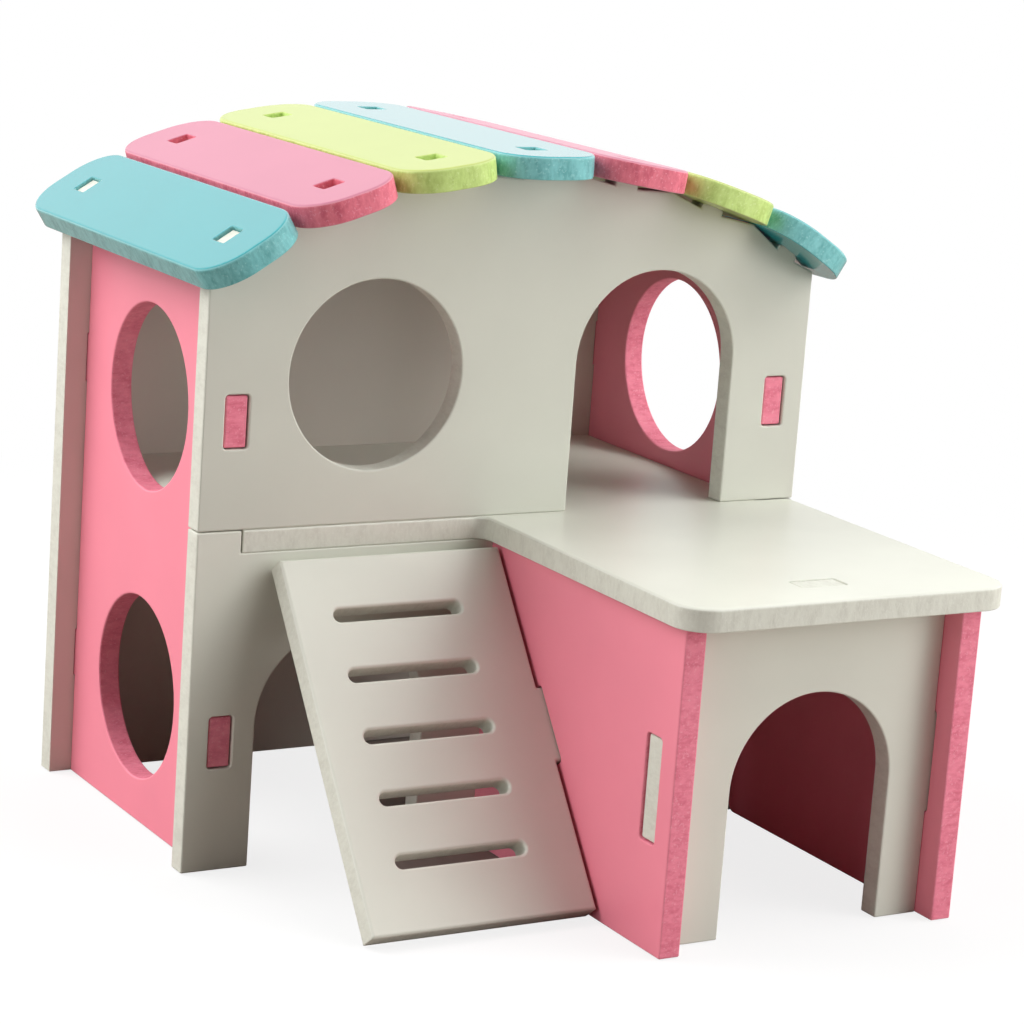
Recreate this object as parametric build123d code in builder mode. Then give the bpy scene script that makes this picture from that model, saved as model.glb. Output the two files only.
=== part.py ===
"""Wooden play house for small animals: painted boards cut to outline and held by tabs in slots.

The house stands on the ground plane z = 0 with its front towards -Y. x = 0 is the middle of the house,
and y = 0 is halfway between the terrace's front edge and the rear ends of the roof slats.
"""

import os
from math import cos, radians, sin, tan

from build123d import *

os.makedirs("parts", exist_ok=True)

# Boards and joints, in millimetres
board = 5.0  # thickness of every board
fit = 0.3  # gap on each side of a tab in its slot
slot_corner_share = 3.0  # a slot's corner radius as a share of the gap beside its tab
tab_length = 11.0  # side wall, floor, wing and terrace tabs
tab_sink = 0.5  # how far a tab stops short of the face that it shows in
close_fit = 0.15  # gap on each side of a tab in a slat, and of a side wall's tab in the back wall
rest_gap = 0.3  # gap between pieces that lean on each other or are lifted out
overrun = 1.0  # how far a cut runs past the board
edge_ease = 0.4  # eased upper rims of the slats, the ramp and the terrace

# House
house_width = 150.0
house_depth = 79.0  # front face to back face
floor_height = 74.5  # upper face of the floor above the ground
wall_ends = 5.2  # front and back walls run this far past the side walls
ear_gap = 0.2  # seam between the lower front wall's ears and the upper front wall

# Roof of seven slats: the middle one is level and the rest slope away from it
roof_rise = 74.8  # underside of the middle slat above the floor
slat_slopes = (9.0, 18.0, 32.0)  # degrees, from beside the middle slat to the eaves
eaves_reach = 2.8  # the roof line runs this far past the ends of the walls
slat_gap = 0.4
slat_overhang = 11.5  # past the front and back walls
slat_end = 4.4  # straight part between the rounded corners of a slat's end
crest_gap = 0.3  # the walls' upper edge lies this far below the joints between slats
roof_relief = 1.2  # and this far below a slat beside its seat
seat_width = 5.8  # flat on which a slat rests, with the tab in its middle
roof_tab_width = 4.7
roof_tab_sink = 2.2
eaves_tab_sink = 0.7  # tabs in the outermost slats

# Openings
hole_diameter = 41.0  # window and side holes
window_inset = 39.7  # wall's left end to the window's middle
window_rise = 32.0  # window's middle above the floor
door_inset = 40.6  # wall's right end to the doorway's middle
door_width = 41.0
door_height = 53.5
arch_width = 40.4  # ground floor arches
arch_height = 51.7
arch_margin = 15.6  # wall's left end to the arch
lower_hole_height = 30.0  # middle of the lower side holes above the ground
left_hole_rise = 20.7  # middle of the left wall's upper hole above the floor
right_hole_rise = 24.0  # and of the right wall's

# Side wall tabs
lower_tab_height = 28.4  # middle of the tab above the ground
upper_tab_rise = 23.0  # middle of the tab above the floor
floor_tab_spacing = 70.0

# Wing under the terrace
wing_width = 74.1  # over both side walls
wing_depth = 72.3  # house front to wing front
wing_nose = 5.7  # wing side walls run this far past the wing's front wall
nose_corner = 2.0
wing_leg = 10.8  # front wall beside the doorway, on the right
wing_tab_length = 22.0
wing_tab_height = 33.8  # middle of the tab above the ground
wing_rear_tab_drop = 17.5  # terrace's underside to the middle of the tab
terrace_tab_inset = 32.0  # wing's right inner face to the middle of the tab in the terrace
terrace_tab_sink = 0.1
terrace_lip = 5.0  # past the wing side walls' front ends
terrace_left_lip = 2.2  # past the wing's left wall
terrace_right_lip = 4.4  # past the wing's right wall
terrace_corner = 7.5
strip_fillet = 3.0  # inner corner between the floor's front strip and the terrace

# Ramp
ramp_width = 52.7
ramp_side_gap = 0.8  # between the ramp and the wing's left wall
ramp_angle = 52.3  # degrees from the ground
ramp_head_room = 0.8  # below the terrace
ramp_tab_length = 16.8
rung_count = 5
rung_length = 30.5
rung_width = 3.0
rung_side_margin = 9.3  # ramp's left edge to the slots
rung_top_margin = 13.3
rung_bottom_margin = 15.1

# Places that follow from the sizes above
half_width = house_width / 2
side_outer = half_width - wall_ends
side_inner = side_outer - board
slat_length = house_depth + 2 * slat_overhang
terrace_reach = wing_depth + wing_nose + terrace_lip
front_y = (terrace_reach - house_depth - slat_overhang) / 2
inside_front_y = front_y + board
back_y = front_y + house_depth
inside_back_y = back_y - board
middle_y = front_y + house_depth / 2
floor_underside = floor_height - board
upper_tab_height = floor_height + upper_tab_rise
side_tab_heights = (lower_tab_height, upper_tab_height)
wing_left_outer = side_outer - wing_width
wing_left_inner = wing_left_outer + board
wing_right_inner = side_inner
wing_front_y = front_y - wing_depth
wing_rear_tab_height = floor_underside - wing_rear_tab_drop
arch_x = -half_width + arch_margin + arch_width / 2
inner_arch_x = (wing_left_inner + wing_right_inner) / 2
wing_door_x = wing_right_inner - wing_leg - arch_width / 2
terrace_tab_x = wing_right_inner - terrace_tab_inset
front_plane = Plane.XZ.offset(-inside_front_y)
back_plane = Plane.XZ.offset(-back_y)
wing_front_plane = Plane.XZ.offset(-wing_front_y - board)

# Corners of the roof line along the slats' undersides, from the ridge to the right-hand eaves.
# The slats share out the width of the roof evenly, measured along their slopes.
slope_runs = [cos(radians(slope)) for slope in slat_slopes]
slat_pitch = (half_width + eaves_reach) / (sum(slope_runs) + 1 / 2)
slat_width = slat_pitch - slat_gap
slat_corner = (slat_width - slat_end) / 2
roof_corners = [Vector(slat_pitch / 2, floor_height + roof_rise)]
for slope in slat_slopes:
    step = Vector(slat_pitch * cos(radians(slope)), -slat_pitch * sin(radians(slope)))
    roof_corners.append(roof_corners[-1] + step)


def eaves_height(x):
    """Underside of the outermost slat at a distance x from the middle of the house."""
    corner = roof_corners[-2]
    return corner.Y - (x - corner.X) * tan(radians(slat_slopes[-1]))


# Seats of the slats, left to right: middle of the underside in the wall's plane, and its slope
right_seats = []
for inner, outer, slope in zip(roof_corners, roof_corners[1:], slat_slopes):
    right_seats.append(Location((inner + outer) / 2, (0, 0, -slope)))
ridge_seat = Location((0, floor_height + roof_rise))
left_seats = []
for seat in reversed(right_seats):
    left_seats.append(Location((-seat.position.X, seat.position.Y), (0, 0, -seat.orientation.Z)))
slat_seats = left_seats + [ridge_seat] + right_seats


def roof_wall(foot):
    """Outline of a wall from its lower edge to the roof line, with a seat and a tab for each slat.
    The roof line rises to a crest below each joint between slats and dips beside each seat."""
    half_seat = seat_width / 2
    right_edge = [(half_seat, floor_height + roof_rise - roof_relief)]
    for corner, seat in zip(roof_corners, right_seats):
        right_edge.append((corner.X, corner.Y - crest_gap))
        for x in (-half_seat, half_seat):
            dip = (seat * Location((x, -roof_relief))).position
            right_edge.append((dip.X, dip.Y))
    right_edge += [(half_width, eaves_height(half_width) - crest_gap), (half_width, foot)]
    left_edge = [(-x, z) for x, z in reversed(right_edge)]
    Polygon(*right_edge, *left_edge, align=None)
    with Locations(*slat_seats):
        Rectangle(seat_width, 2 * roof_relief, align=(Align.CENTER, Align.MAX))
        Rectangle(roof_tab_width, board - roof_tab_sink, align=(Align.CENTER, Align.MIN))
    with Locations(slat_seats[0], slat_seats[-1]):
        Rectangle(roof_tab_width, board - eaves_tab_sink, align=(Align.CENTER, Align.MIN))


def cut_arch(x, width, foot, height):
    """Cuts a doorway with a half-round head from the foot of a wall."""
    spring = height - width / 2
    with Locations((x, foot - overrun)):
        Rectangle(width, spring + overrun, align=(Align.CENTER, Align.MIN), mode=Mode.SUBTRACT)
    with Locations((x, foot + spring)):
        Circle(width / 2, mode=Mode.SUBTRACT)


def cut_slot(places, across, along, play=fit):
    """Cuts slots with rounded corners that take tabs of the given size with some play all round."""
    with Locations(*places):
        RectangleRounded(across + 2 * play, along + 2 * play, slot_corner_share * play, mode=Mode.SUBTRACT)


side_slot_x = (side_outer + side_inner) / 2
wing_left_slot_x = (wing_left_outer + wing_left_inner) / 2

# Front wall, upper board: window, doorway and a slot for each side wall's upper tab
with BuildPart() as front_wall_upper:
    with BuildSketch(front_plane):
        roof_wall(floor_height)
        with Locations((-half_width + window_inset, floor_height + window_rise)):
            Circle(hole_diameter / 2, mode=Mode.SUBTRACT)
        cut_arch(half_width - door_inset, door_width, floor_height, door_height)
        cut_slot([(side_slot_x, upper_tab_height), (-side_slot_x, upper_tab_height)], board, tab_length)
    extrude(amount=board)
front_wall_upper.part.label = "front_wall_upper"
export_step(front_wall_upper.part, "parts/front_wall_upper.step")

# Front wall, lower board: ears at both ends, an arch to the yard and one into the wing
with BuildPart() as front_wall_lower:
    with BuildSketch(front_plane):
        Rectangle(house_width, floor_height - ear_gap, align=(Align.CENTER, Align.MIN))
        with Locations((0, floor_underside)):
            Rectangle(2 * side_inner, board, align=(Align.CENTER, Align.MIN), mode=Mode.SUBTRACT)
        for x in (arch_x, inner_arch_x):
            cut_arch(x, arch_width, 0, arch_height)
        cut_slot([(side_slot_x, lower_tab_height), (-side_slot_x, lower_tab_height)], board, tab_length)
        wing_slots = [(wing_left_slot_x, wing_rear_tab_height), (side_slot_x, wing_rear_tab_height)]
        cut_slot(wing_slots, board, tab_length)
    extrude(amount=board)
front_wall_lower.part.label = "front_wall_lower"
export_step(front_wall_lower.part, "parts/front_wall_lower.step")

# Back wall: one board from the ground to the roof, with slots for the side walls and the floor
with BuildPart() as back_wall:
    with BuildSketch(back_plane):
        roof_wall(0)
        for z in side_tab_heights:
            cut_slot([(side_slot_x, z), (-side_slot_x, z)], board, tab_length, close_fit)
        floor_slot_z = floor_height - board / 2
        floor_slot_x = floor_tab_spacing / 2
        cut_slot([(-floor_slot_x, floor_slot_z), (floor_slot_x, floor_slot_z)], tab_length, board)
    extrude(amount=board)
back_wall.part.label = "back_wall"
export_step(back_wall.part, "parts/back_wall.step")

# Side walls: two holes each, the right wall's upper one higher, and tabs through the front and back walls
side_top = eaves_height(side_outer) - rest_gap / cos(radians(slat_slopes[-1]))
side_places = {
    "left_side_wall": (-side_outer, left_hole_rise),
    "right_side_wall": (side_inner, right_hole_rise),
}
for side_name, (side_x, upper_hole_rise) in side_places.items():
    with BuildPart() as side_wall:
        with BuildSketch(Plane.YZ.offset(side_x)):
            with Locations((middle_y, 0)):
                Rectangle(house_depth - 2 * board, side_top, align=(Align.CENTER, Align.MIN))
            with Locations(*[(middle_y, z) for z in side_tab_heights]):
                Rectangle(house_depth - 2 * tab_sink, tab_length)
            hole_heights = (lower_hole_height, floor_height + upper_hole_rise)
            with Locations(*[(middle_y, z) for z in hole_heights]):
                Circle(hole_diameter / 2, mode=Mode.SUBTRACT)
        extrude(amount=board)
    side_wall.part.label = side_name
    export_step(side_wall.part, f"parts/{side_name}.step")

# Floor and terrace: one plate that passes between the two front boards and out over the wing
with BuildPart() as floor_terrace:
    with BuildSketch(Plane.XY.offset(floor_underside)) as plate:
        floor_width = 2 * (side_inner - fit)
        with Locations((0, front_y)):
            Rectangle(floor_width, house_depth - board, align=(Align.CENTER, Align.MIN))
        with Locations((-floor_slot_x, inside_back_y), (floor_slot_x, inside_back_y)):
            Rectangle(tab_length, board - tab_sink, align=(Align.CENTER, Align.MIN))
        terrace_left = wing_left_outer - terrace_left_lip
        terrace_right = side_outer + terrace_right_lip
        with Locations((terrace_right, front_y)):
            Rectangle(terrace_right - terrace_left, terrace_reach, align=(Align.MAX, Align.MAX))
        fillet(plate.vertices().group_by(Axis.Y)[0], terrace_corner)
        inner_corner = plate.vertices().sort_by_distance((terrace_left, front_y))[0]
        fillet(inner_corner, strip_fillet)
        cut_slot([(terrace_tab_x, wing_front_y + board / 2)], tab_length, board)
    extrude(amount=board)
    plate_rim = floor_terrace.faces().sort_by(Axis.Z)[-1].outer_wire().edges()
    chamfer(plate_rim.filter_by(lambda edge: edge.center().Y < front_y), edge_ease)
floor_terrace.part.label = "floor_terrace"
export_step(floor_terrace.part, "parts/floor_terrace.step")

# Ramp: its underside leans from the front wall's face to the ground, and its tab enters the wing
ramp_rise = floor_underside - ramp_head_room - board * cos(radians(ramp_angle))
ramp_length = ramp_rise / sin(radians(ramp_angle))
ramp_right = wing_left_outer - ramp_side_gap
ramp_foot_y = front_y - rest_gap - ramp_length * cos(radians(ramp_angle))
ramp_normal = (0, -sin(radians(ramp_angle)), cos(radians(ramp_angle)))
ramp_plane = Plane(origin=(ramp_right, ramp_foot_y, 0), x_dir=(1, 0, 0), z_dir=ramp_normal)
rung_pitch = (ramp_length - rung_top_margin - rung_bottom_margin) / (rung_count - 1)
with BuildPart() as ramp:
    with BuildSketch(ramp_plane):
        Rectangle(ramp_width, ramp_length, align=(Align.MAX, Align.MIN))
        with Locations((0, ramp_length / 2)):
            tab_reach = ramp_side_gap + board - tab_sink
            Rectangle(tab_reach, ramp_tab_length, align=(Align.MIN, Align.CENTER))
        rung_x = -ramp_width + rung_side_margin + rung_length / 2
        with Locations(*[(rung_x, rung_bottom_margin + i * rung_pitch) for i in range(rung_count)]):
            SlotOverall(rung_length, rung_width, mode=Mode.SUBTRACT)
    extrude(amount=board)
    ramp_face = ramp.faces().sort_by(Axis(ramp_plane.origin, ramp_plane.z_dir))[-1]
    chamfer(ramp_face.edges(), edge_ease)
ramp.part.label = "ramp"
export_step(ramp.part, "parts/ramp.step")

# Wing side walls: slots for the wing's front wall, and on the left a sloped slot for the ramp's tab
ramp_tab_middle = ramp_plane.from_local_coords((0, ramp_length / 2, board / 2))
wing_places = {"wing_left_wall": wing_left_outer, "wing_right_wall": wing_right_inner}
for wing_name, wing_x in wing_places.items():
    with BuildPart() as wing_wall:
        with BuildSketch(Plane.YZ.offset(wing_x)) as wing_side:
            with Locations((front_y, 0)):
                Rectangle(wing_depth + wing_nose, floor_underside, align=(Align.MAX, Align.MIN))
            nose_foot = wing_side.vertices().sort_by_distance((wing_x, wing_front_y - wing_nose, 0))[0]
            fillet(nose_foot, nose_corner)
            with Locations((front_y, wing_rear_tab_height)):
                Rectangle(board - tab_sink, tab_length, align=(Align.MIN, Align.CENTER))
            cut_slot([(wing_front_y + board / 2, wing_tab_height)], board, wing_tab_length)
            if wing_name == "wing_left_wall":
                tab_place = Location((ramp_tab_middle.Y, ramp_tab_middle.Z), (0, 0, ramp_angle))
                cut_slot([tab_place], ramp_tab_length, board)
        extrude(amount=board)
    wing_wall.part.label = wing_name
    export_step(wing_wall.part, f"parts/{wing_name}.step")

# Wing front wall: doorway, a tab through each wing side wall and one up into the terrace
with BuildPart() as wing_front_wall:
    with BuildSketch(wing_front_plane):
        with Locations((inner_arch_x, 0)):
            inside_width = wing_right_inner - wing_left_inner
            Rectangle(inside_width, floor_underside, align=(Align.CENTER, Align.MIN))
        with Locations((inner_arch_x, wing_tab_height)):
            Rectangle(wing_width - 2 * tab_sink, wing_tab_length)
        with Locations((terrace_tab_x, floor_underside)):
            Rectangle(tab_length, board - terrace_tab_sink, align=(Align.CENTER, Align.MIN))
        cut_arch(wing_door_x, arch_width, 0, arch_height)
    extrude(amount=board)
wing_front_wall.part.label = "wing_front_wall"
export_step(wing_front_wall.part, "parts/wing_front_wall.step")

# Roof slats: rounded boards with a slot at each wall, one on each seat of the roof line
for number, seat in enumerate(slat_seats, start=1):
    slope = radians(seat.orientation.Z)
    along = (cos(slope), 0, sin(slope))
    upward = (-sin(slope), 0, cos(slope))
    slat_middle = (seat.position.X, middle_y, seat.position.Y)
    with BuildPart() as slat:
        with BuildSketch(Plane(origin=slat_middle, x_dir=along, z_dir=upward)):
            RectangleRounded(slat_width, slat_length, slat_corner)
            wall_offset = (house_depth - board) / 2
            cut_slot([(0, -wall_offset), (0, wall_offset)], roof_tab_width, board, close_fit)
        extrude(amount=board)
        top_face = slat.faces().sort_by(Axis(slat_middle, upward))[-1]
        chamfer(top_face.outer_wire().edges(), edge_ease)
    slat.part.label = f"roof_slat_{number}"
    export_step(slat.part, f"parts/roof_slat_{number}.step")
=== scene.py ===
"""Wooden play house for small animals: looks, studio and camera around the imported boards."""

import math

import bpy
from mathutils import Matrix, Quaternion, Vector

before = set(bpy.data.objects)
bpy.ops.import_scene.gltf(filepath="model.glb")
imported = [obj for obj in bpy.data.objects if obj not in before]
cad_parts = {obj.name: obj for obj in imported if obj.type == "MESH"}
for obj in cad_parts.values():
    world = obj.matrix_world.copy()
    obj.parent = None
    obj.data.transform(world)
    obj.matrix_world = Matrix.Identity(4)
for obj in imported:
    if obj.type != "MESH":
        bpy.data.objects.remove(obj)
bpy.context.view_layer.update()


# Front walls, back wall and the wing's front wall
# Five millimetre fibreboard cut to outline, sanded and sprayed with off-white satin paint.
# They stand across the house, joined by tabs to the side walls of the house and of the wing.

def linear(code):
    """Linear colour of an sRGB hex code."""
    channels = [int(code[i:i + 2], 16) / 255 for i in (1, 3, 5)]
    return [c / 12.92 if c <= 0.04045 else ((c + 0.055) / 1.055) ** 2.4 for c in channels] + [1]


def add_node(tree, kind, settings, links):
    """Adds a node, sets its properties and then its sockets, and links its sockets.
    A key that is a number is a socket's place: a colour mix has its share at 0 and its colours at 6 and 7."""
    made = tree.nodes.new("ShaderNode" + kind)
    for key, value in settings.items():
        if isinstance(key, str) and key not in made.inputs:
            setattr(made, key, value)
    for key, value in settings.items():
        if not isinstance(key, str) or key in made.inputs:
            made.inputs[key].default_value = value
    for key, source in links.items():
        tree.links.new(source, made.inputs[key])
    return made


def painted_board(name, face_axis, face, rim, edge, pore, fleck, edge_dullness, face_dullness=0.36, gloss=0):
    """Sprayed fibreboard: a smooth satin skin on the faces, and thirsty cut edges with fibres in the paint.
    face_axis is the direction across the board, so the node tree can tell a face from a cut edge."""
    material = bpy.data.materials.new(name)
    material.use_nodes = True
    tree = material.node_tree
    shader = tree.nodes["Principled BSDF"]
    place = add_node(tree, "TexCoord", {}, {})
    here = place.outputs["Object"]
    edge_below = 0.25
    face_above = 0.85
    facing = add_node(tree, "VectorMath", {"operation": "DOT_PRODUCT", 1: face_axis},
                      {0: place.outputs["Normal"]})
    squareness = add_node(tree, "Math", {"operation": "ABSOLUTE"}, {0: facing.outputs["Value"]})
    on_face = add_node(tree, "MapRange",
                       {"interpolation_type": "SMOOTHSTEP", "From Min": edge_below, "From Max": face_above},
                       {"Value": squareness.outputs[0]})
    mask = on_face.outputs["Result"]

    # The eased rim between face and edge is painted lighter: partly paint rubbed thin, partly a painted
    # highlight
    mask_middle = 0.5
    rim_gain = 1.2
    half_way = add_node(tree, "Math", {"operation": "PINGPONG", 1: mask_middle}, {0: mask})
    on_rim = add_node(tree, "Math", {"operation": "MULTIPLY", 1: rim_gain}, {0: half_way.outputs[0]})

    # Fibres run through the board, so the edge's pattern is drawn out along the board's thickness.
    # Real fibres and flecks are finer: they are drawn as coarse as they need to be to show.
    fibre_mm = 0.8
    mottle_mm = 2.4
    fleck_mm = 0.5
    cloud_mm = 25
    stipple_mm = 0.9
    draw_out = 0.5
    depth = add_node(tree, "VectorMath", {"operation": "DOT_PRODUCT", 1: face_axis}, {0: here})
    pull = add_node(tree, "Math", {"operation": "MULTIPLY", 1: draw_out}, {0: depth.outputs["Value"]})
    along = add_node(tree, "VectorMath", {"operation": "SCALE", 0: face_axis}, {"Scale": pull.outputs[0]})
    drawn = add_node(tree, "VectorMath", {"operation": "SUBTRACT"}, {0: here, 1: along.outputs[0]})
    fibres = add_node(tree, "TexNoise", {"Scale": 1000 / fibre_mm, "Detail": 3, "Roughness": 0.6},
                      {"Vector": drawn.outputs[0]})
    mottle = add_node(tree, "TexNoise", {"Scale": 1000 / mottle_mm, "Detail": 2},
                      {"Vector": drawn.outputs[0]})
    flecks = add_node(tree, "TexNoise", {"Scale": 1000 / fleck_mm, "Detail": 1}, {"Vector": here})
    clouds = add_node(tree, "TexNoise", {"Scale": 1000 / cloud_mm, "Detail": 3}, {"Vector": here})
    stipple = add_node(tree, "TexNoise", {"Scale": 1000 / stipple_mm, "Detail": 2}, {"Vector": here})

    # Cut edge: paint soaked in unevenly, with darker pores and a few pale fibres
    pore_start = 0.16
    pore_full = 0.4
    fleck_start = 0.6
    fleck_full = 0.75
    fleck_strength = 0.6
    soaked = add_node(tree, "Math", {"operation": "MULTIPLY"},
                      {0: fibres.outputs["Fac"], 1: mottle.outputs["Fac"]})
    pores = add_node(tree, "MapRange", {"From Min": pore_start, "From Max": pore_full},
                     {"Value": soaked.outputs[0]})
    edge_colour = add_node(tree, "Mix", {"data_type": "RGBA", 6: linear(edge), 7: linear(pore)},
                           {0: pores.outputs["Result"]})
    pale = add_node(tree, "MapRange",
                    {"From Min": fleck_start, "From Max": fleck_full, "To Max": fleck_strength},
                    {"Value": flecks.outputs["Fac"]})
    edge_flecked = add_node(tree, "Mix", {"data_type": "RGBA", 7: linear(fleck)},
                            {0: pale.outputs["Result"], 6: edge_colour.outputs[2]})

    # Face: one even coat with faint clouds where the spray laid thicker
    cloud_low = 0.3
    cloud_high = 0.7
    thin_coat = 0.97
    thick_coat = 1.02
    thicker = add_node(tree, "MapRange", {"From Min": cloud_low, "From Max": cloud_high,
                                          "To Min": thin_coat, "To Max": thick_coat},
                       {"Value": clouds.outputs["Fac"]})
    face_colour = add_node(tree, "Mix",
                           {"data_type": "RGBA", "blend_type": "MULTIPLY", 0: 1, 6: linear(face)},
                           {7: thicker.outputs["Result"]})
    surface = add_node(tree, "Mix", {"data_type": "RGBA"},
                       {0: mask, 6: edge_flecked.outputs[2], 7: face_colour.outputs[2]})
    # Painted highlight and wear: the rim colour lightens the eased rim
    rim_worn_and_highlit = add_node(tree, "Mix", {"data_type": "RGBA", 7: linear(rim)},
                      {0: on_rim.outputs[0], 6: surface.outputs[2]})
    tree.links.new(rim_worn_and_highlit.outputs[2], shader.inputs["Base Color"])

    # Satin on the faces, nearly matt on the edges, with a light stipple and open fibres in relief
    paint_ior = 1.5
    coat_dullness = 0.12
    stipple_strength = 0.2
    stipple_depth = 0.00003
    fibre_strength = 0.5
    fibre_depth = 0.0003
    dull = add_node(tree, "MapRange", {"To Min": edge_dullness, "To Max": face_dullness}, {"Value": mask})
    tree.links.new(dull.outputs["Result"], shader.inputs["Roughness"])
    shader.inputs["IOR"].default_value = paint_ior
    shader.inputs["Coat Weight"].default_value = gloss
    shader.inputs["Coat Roughness"].default_value = coat_dullness
    skin = add_node(tree, "Bump", {"Strength": stipple_strength, "Distance": stipple_depth},
                    {"Height": stipple.outputs["Fac"]})
    rough = add_node(tree, "Math", {"operation": "SUBTRACT", 0: 1}, {1: mask})
    open_fibres = add_node(tree, "Math", {"operation": "MULTIPLY"},
                           {0: rough.outputs[0], 1: soaked.outputs[0]})
    relief = add_node(tree, "Bump", {"Strength": fibre_strength, "Distance": fibre_depth},
                      {"Height": open_fibres.outputs[0], "Normal": skin.outputs["Normal"]})
    tree.links.new(relief.outputs["Normal"], shader.inputs["Normal"])
    return material


# Bends gentler than this one are shaded smooth, and sharper ones stay crisp
crisp_bend = math.radians(9.5)
crisp_shading = bpy.data.node_groups.new("crisp_shading", "GeometryNodeTree")
crisp_shading.interface.new_socket("Geometry", in_out="INPUT", socket_type="NodeSocketGeometry")
crisp_shading.interface.new_socket("Geometry", in_out="OUTPUT", socket_type="NodeSocketGeometry")
bare_board = crisp_shading.nodes.new("NodeGroupInput")
plain = crisp_shading.nodes.new("GeometryNodeRemoveAttribute")
plain.inputs["Name"].default_value = "custom_normal"
bend = crisp_shading.nodes.new("GeometryNodeInputMeshEdgeAngle")
gentle = crisp_shading.nodes.new("FunctionNodeCompare")
gentle.operation = "LESS_THAN"
gentle.inputs["B"].default_value = crisp_bend
smooth_faces = crisp_shading.nodes.new("GeometryNodeSetShadeSmooth")
crisp_edges = crisp_shading.nodes.new("GeometryNodeSetShadeSmooth")
crisp_edges.domain = "EDGE"
shaded_board = crisp_shading.nodes.new("NodeGroupOutput")
for source, target in ((bare_board.outputs[0], plain.inputs["Geometry"]),
                       (plain.outputs["Geometry"], smooth_faces.inputs[0]),
                       (smooth_faces.outputs[0], crisp_edges.inputs[0]),
                       (bend.outputs["Unsigned Angle"], gentle.inputs["A"]),
                       (gentle.outputs["Result"], crisp_edges.inputs["Shade Smooth"]),
                       (crisp_edges.outputs[0], shaded_board.inputs[0])):
    crisp_shading.links.new(source, target)


def finish_board(node, material, ease_mm):
    """Sands the sharp corners of a board to a small round and gives it its paint."""
    weld_gap = 0.000002
    flat_angle = math.radians(0.5)
    corner_angle = math.radians(35)
    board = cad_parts[node]
    weld = board.modifiers.new("weld", "WELD")
    weld.merge_threshold = weld_gap
    merge = board.modifiers.new("flat_faces", "DECIMATE")
    merge.decimate_type = "DISSOLVE"
    merge.angle_limit = flat_angle
    ease = board.modifiers.new("eased_edges", "BEVEL")
    ease.width = ease_mm / 1000
    ease.segments = 2
    ease.limit_method = "ANGLE"
    ease.angle_limit = corner_angle
    ease.use_clamp_overlap = False
    ease.loop_slide = False
    shading = board.modifiers.new("crisp_shading", "NODES")
    shading.node_group = crisp_shading
    board.data.materials.clear()
    board.data.materials.append(material)


front_to_back = (0, 1, 0)
wall_ease_mm = 0.35
back_wall_ease_mm = 0.12
off_white = {"face": "#DCDDD1", "rim": "#E4E5DB", "edge": "#DADBCF", "pore": "#CFCFC3", "fleck": "#DFE0D6",
             "edge_dullness": 0.45}
white_upright = painted_board("off_white_paint_on_upright_board", front_to_back, **off_white)
for wall in ("front_wall_lower", "wing_front_wall"):
    finish_board(wall, white_upright, wall_ease_mm)

# Painted shade: the two large walls get darker copies of the off-white, a little greyer in front, and warmer
# at the back, standing in for the shade on them and inside the house
painted_shade_front_white = {**off_white, "face": "#CFD0C4"}
painted_shade_back_white = {**off_white, "face": "#D5D0C5"}
painted_shade_front_upright = painted_board("grey_white_paint", front_to_back, **painted_shade_front_white)
painted_shade_back_upright = painted_board("warm_white_paint", front_to_back, **painted_shade_back_white)
finish_board("front_wall_upper", painted_shade_front_upright, wall_ease_mm)
finish_board("back_wall", painted_shade_back_upright, back_wall_ease_mm)


# Side walls of the house and of the wing
# The same fibreboard sprayed pink, standing from front to back with round holes or long slots.
# Their tabs show as pink bars in the front walls, and their cut ends as fibrous strips.

side_to_side = (1, 0, 0)
pink = {"face": "#F68EA1", "rim": "#F8A5B3", "edge": "#F28BA0", "pore": "#DE7086", "fleck": "#F6ABB9",
        "edge_dullness": 0.65}
pink_upright = painted_board("pink_paint_on_side_board", side_to_side, **pink)
for wall in ("left_side_wall", "right_side_wall", "wing_left_wall", "wing_right_wall"):
    finish_board(wall, pink_upright, wall_ease_mm)


# Floor and terrace
# One level plate in off-white, clamped between the two front boards and carried by the wing's walls.
# Its rounded front corners and eased rim are part of the cut board.

upward = (0, 0, 1)
plate_ease_mm = 0.25
white_level = painted_board("off_white_paint_on_level_board", upward, **off_white)
finish_board("floor_terrace", white_level, plate_ease_mm)


# Ramp
# A loose off-white board that leans on the house with its tab in the wing's wall.
# Five slots cut across it give the animal a foothold.

lean = math.radians(52.3)
ramp_ease_mm = 0.25
across_ramp = (0, -math.sin(lean), math.cos(lean))
white_leaning = painted_board("off_white_paint_on_ramp", across_ramp, **off_white)
finish_board("ramp", white_leaning, ramp_ease_mm)


# Roof slats
# Seven rounded slats in teal, pink and lime, dropped over the tabs of the front and back walls.
# Each one lies at its own slope, so each has its own paint with the direction across that slat.

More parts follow.
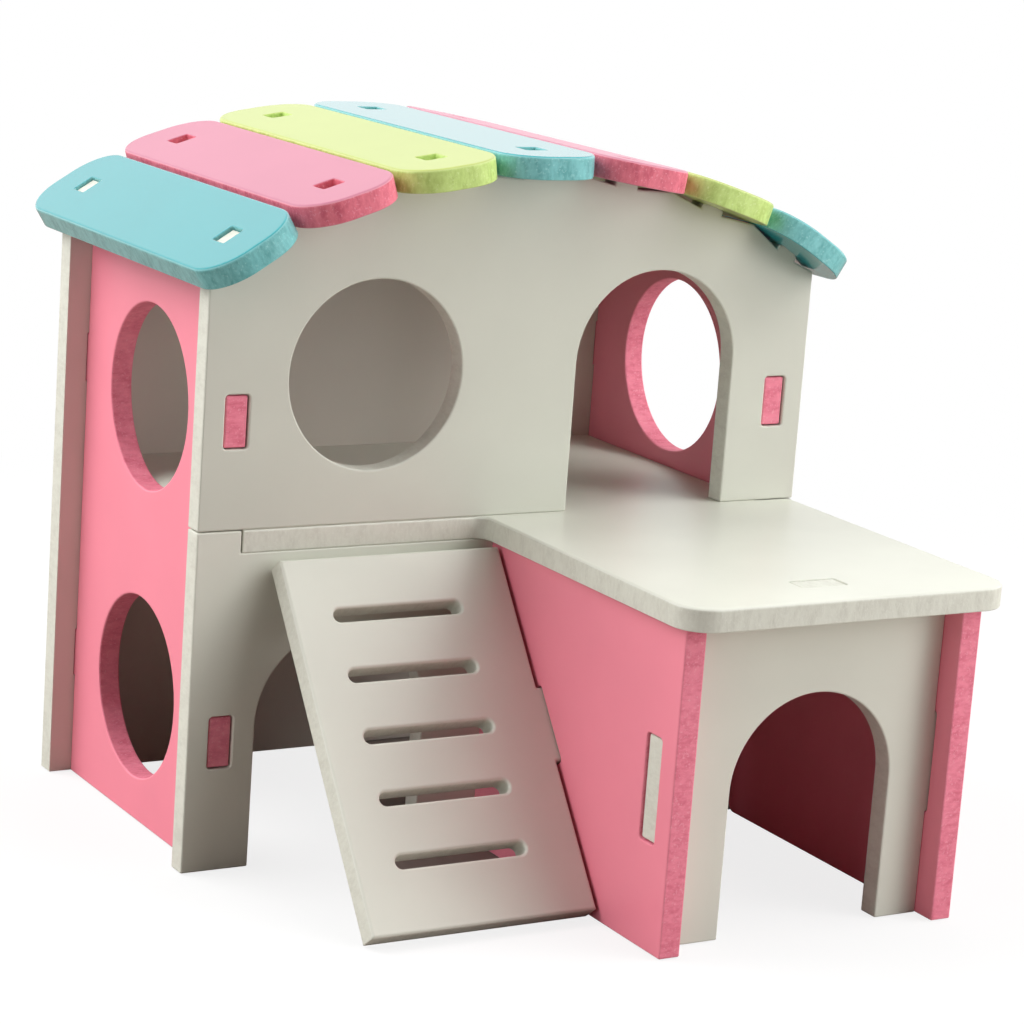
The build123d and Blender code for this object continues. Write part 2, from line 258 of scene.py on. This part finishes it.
# A clear coat over the paint mirrors the white room, most on teal and least on pink
slat_paints = {
    "teal": {"face": "#229FA6", "rim": "#90D2D4", "edge": "#79C3C4", "pore": "#58A3A4", "fleck": "#A0D8D8",
             "face_dullness": 0.24, "gloss": 1},
    "pink": {"face": "#C67C92", "rim": "#E6A4B2", "edge": "#E67B8C", "pore": "#CC5D72", "fleck": "#F2A6B4",
             "face_dullness": 0.36, "gloss": 0.2},
    "lime": {"face": "#B8C66A", "rim": "#D4E39A", "edge": "#CCE58A", "pore": "#B2CC6E", "fleck": "#DCEEA6",
             "face_dullness": 0.36, "gloss": 0.5},
}
slat_edge_dullness = 0.75
slat_ease_mm = 0.25
slat_slopes = (32, 18, 9, 0, -9, -18, -32)
slat_order = ("teal", "pink", "lime", "teal", "pink", "lime", "teal")
for number, (slope, paint) in enumerate(zip(slat_slopes, slat_order), start=1):
    tilt = math.radians(slope)
    across_slat = (-math.sin(tilt), 0, math.cos(tilt))
    slat_material = painted_board(f"{paint}_paint_on_slat_{number}", across_slat, **slat_paints[paint],
                                  edge_dullness=slat_edge_dullness)
    finish_board(f"roof_slat_{number}", slat_material, slat_ease_mm)


# Studio
# A sheet that shows white to the camera, like the room around it, and keeps a faint shadow of the house.
# Eight soft lamps stand on all sides and above, out of the picture and of the paint's reflections.

reach = 0.9
floor_drop = 0.0002
floor_corners = [(-reach, -reach, 0), (reach, -reach, 0), (reach, reach, 0), (-reach, reach, 0)]
floor_mesh = bpy.data.meshes.new("studio_floor")
floor_mesh.from_pydata(floor_corners, [], [(0, 1, 2, 3)])
studio_floor = bpy.data.objects.new("studio_floor", floor_mesh)
studio_floor.location.z = -floor_drop
bpy.context.scene.collection.objects.link(studio_floor)
sheet_dullness = 0.9
sweep = bpy.data.materials.new("white_studio_sweep")
sweep.use_nodes = True
sweep_tree = sweep.node_tree
sweep_shader = sweep_tree.nodes["Principled BSDF"]
sweep_shader.inputs["Roughness"].default_value = sheet_dullness
sweep_shader.inputs["Specular IOR Level"].default_value = 0
ray = add_node(sweep_tree, "LightPath", {}, {})
ground = add_node(sweep_tree, "TexCoord", {}, {})

# Near the house the sheet takes a faint shadow, and farther off it is all white
near = 0.1
far = 0.4
near_white = 0.82
far_white = 1
away = add_node(sweep_tree, "VectorMath", {"operation": "LENGTH"}, {0: ground.outputs["Object"]})
bright = add_node(sweep_tree, "MapRange",
                  {"interpolation_type": "SMOOTHSTEP", "From Min": near, "From Max": far,
                   "To Min": near_white, "To Max": far_white},
                  {"Value": away.outputs["Value"]})


def floor_patch(middle, half_size, fade=0.005):
    """Whole inside a box on the floor and none outside it, fading under the boards around it."""
    aside = add_node(sweep_tree, "VectorMath", {"operation": "SUBTRACT", 1: (*middle, 0)},
                     {0: ground.outputs["Object"]})
    distance = add_node(sweep_tree, "VectorMath", {"operation": "ABSOLUTE"}, {0: aside.outputs[0]})
    inner = (half_size[0] - fade, half_size[1] - fade, 0)
    outer = (*half_size, 1)
    whole = (1, 1, 1)
    none = (0, 0, 0)
    # Places 6 to 10 of a vector range are its value, its two limits and the results at them
    depth = add_node(sweep_tree, "MapRange", {"data_type": "FLOAT_VECTOR", "interpolation_type": "SMOOTHSTEP",
                                              7: inner, 8: outer, 9: whole, 10: none},
                     {6: distance.outputs[0]})
    sides = add_node(sweep_tree, "SeparateXYZ", {}, {0: depth.outputs["Vector"]})
    return add_node(sweep_tree, "Math", {"operation": "MULTIPLY"},
                    {0: sides.outputs["X"], 1: sides.outputs["Y"]})


# Painted shade: in the room and under the ramp, right of a soft slanting edge where light comes in, the
# camera sees the darker paper without the glow
edge_slant = 0.4065
edge_start = -0.033
edge_end = -0.023
room = floor_patch(middle=(0, 0.0358), half_size=(0.0698, 0.0395))
below_ramp = floor_patch(middle=(-0.0286, -0.0268), half_size=(0.0293, 0.0280))
covered = add_node(sweep_tree, "Math", {"operation": "MAXIMUM"},
                   {0: room.outputs[0], 1: below_ramp.outputs[0]})
spot = add_node(sweep_tree, "SeparateXYZ", {}, {0: ground.outputs["Object"]})
from_edge = add_node(sweep_tree, "Math", {"operation": "MULTIPLY_ADD", 1: -edge_slant},
                     {0: spot.outputs["Y"], 2: spot.outputs["X"]})
past_edge = add_node(sweep_tree, "MapRange",
                     {"interpolation_type": "SMOOTHSTEP", "From Min": edge_start, "From Max": edge_end},
                     {"Value": from_edge.outputs[0]})
shade = add_node(sweep_tree, "Math", {"operation": "MULTIPLY"},
                 {0: covered.outputs[0], 1: past_edge.outputs["Result"]})
open_floor = add_node(sweep_tree, "Math", {"operation": "SUBTRACT", 0: 1}, {1: shade.outputs[0]})

# Only the camera sees white paper, and not in that patch of painted shade: the light that the sheet sends
# back comes from darker paper
dark_paper = linear("#968C85")
white_paper = linear("#F4F4F2")
seen = add_node(sweep_tree, "Math", {"operation": "MULTIPLY"},
                {0: open_floor.outputs[0], 1: ray.outputs["Is Camera Ray"]})
paper = add_node(sweep_tree, "Mix", {"data_type": "RGBA", 6: dark_paper, 7: white_paper},
                 {0: seen.outputs[0]})
sweep_tree.links.new(paper.outputs[2], sweep_shader.inputs["Base Color"])
share = add_node(sweep_tree, "Math", {"operation": "MULTIPLY"},
                 {0: bright.outputs["Result"], 1: seen.outputs[0]})
glow = add_node(sweep_tree, "Emission", {"Color": linear("#FFFFFF"), "Strength": 1}, {})
blend = add_node(sweep_tree, "MixShader", {},
                 {0: share.outputs[0], 1: sweep_shader.outputs[0], 2: glow.outputs[0]})
sweep_tree.links.new(blend.outputs[0], sweep_tree.nodes["Material Output"].inputs["Surface"])
floor_mesh.materials.append(sweep)

# The room is white to the camera and in reflections, and gives the boards only a faint warm light
room_light = 0.02
world = bpy.data.worlds.new("white_studio")
bpy.context.scene.world = world
world.use_nodes = True
sky = world.node_tree
dim = sky.nodes["Background"]
dim.inputs["Color"].default_value = linear("#FFD9C4")
dim.inputs["Strength"].default_value = room_light
white = add_node(sky, "Background", {"Color": linear("#FFFFFF"), "Strength": 1}, {})
sky_ray = add_node(sky, "LightPath", {}, {})
sky_seen = add_node(sky, "Math", {"operation": "MAXIMUM"},
                    {0: sky_ray.outputs["Is Camera Ray"], 1: sky_ray.outputs["Is Glossy Ray"]})
sky_mix = add_node(sky, "MixShader", {}, {0: sky_seen.outputs[0], 1: dim.outputs[0], 2: white.outputs[0]})
sky.links.new(sky_mix.outputs[0], sky.nodes["World Output"].inputs["Surface"])

# Each lamp's place and width in metres, and its power in watts
lamps = {
    "front_right_softbox": ((0.65, -1.05, 0.5), 0.9, 5.1),
    "low_right_softbox": ((0.45, -0.42, 0.12), 0.3, 1.1),
    "high_right_softbox": ((0.95, -0.45, 0.8), 0.8, 7.2),
    "top_right_softbox": ((0.45, -0.15, 1.05), 1.0, 5.6),
    "top_left_softbox": ((-0.75, 0.5, 0.95), 1.0, 14.2),
    "left_softbox": ((-1.3, -0.1, 0.4), 1.1, 7.2),
    "rear_left_softbox": ((-0.6, 1.2, 0.7), 1.1, 7.5),
    "rear_right_softbox": ((0.62, 1.05, 0.42), 0.9, 4.0),
}
aim = Vector((0, 0, 0.07))
for lamp_name, (place, size, power) in lamps.items():
    lamp = bpy.data.lights.new(lamp_name, "AREA")
    lamp.shape = "DISK"
    lamp.size = size
    lamp.energy = power
    lamp_object = bpy.data.objects.new(lamp_name, lamp)
    lamp_object.location = place
    lamp_object.visible_camera = False
    lamp_object.visible_glossy = False
    lamp_object.rotation_mode = "QUATERNION"
    lamp_object.rotation_quaternion = (aim - Vector(place)).to_track_quat("-Z", "Y")
    bpy.context.scene.collection.objects.link(lamp_object)


# Camera
# It stands to the left in front of the house, a little above the roof, and leans slightly to one side.
# A long lens from about 0.7 m gives the photograph's mild perspective.

lens = bpy.data.cameras.new("camera")
lens.sensor_width = 36
lens.lens = 111.06
lens.clip_start = 0.01
camera = bpy.data.objects.new("camera", lens)
camera.location = (-0.345803, -0.582150, 0.226330)
azimuth = math.radians(30.889)
drop = math.radians(12.653)
roll = math.radians(4.150)
sight = Vector((math.sin(azimuth) * math.cos(drop), math.cos(azimuth) * math.cos(drop), -math.sin(drop)))
camera.rotation_mode = "QUATERNION"
camera.rotation_quaternion = sight.to_track_quat("-Z", "Y") @ Quaternion((0, 0, 1), roll)
bpy.context.scene.collection.objects.link(camera)
bpy.context.scene.camera = camera
bpy.context.scene.view_settings.view_transform = "Standard"
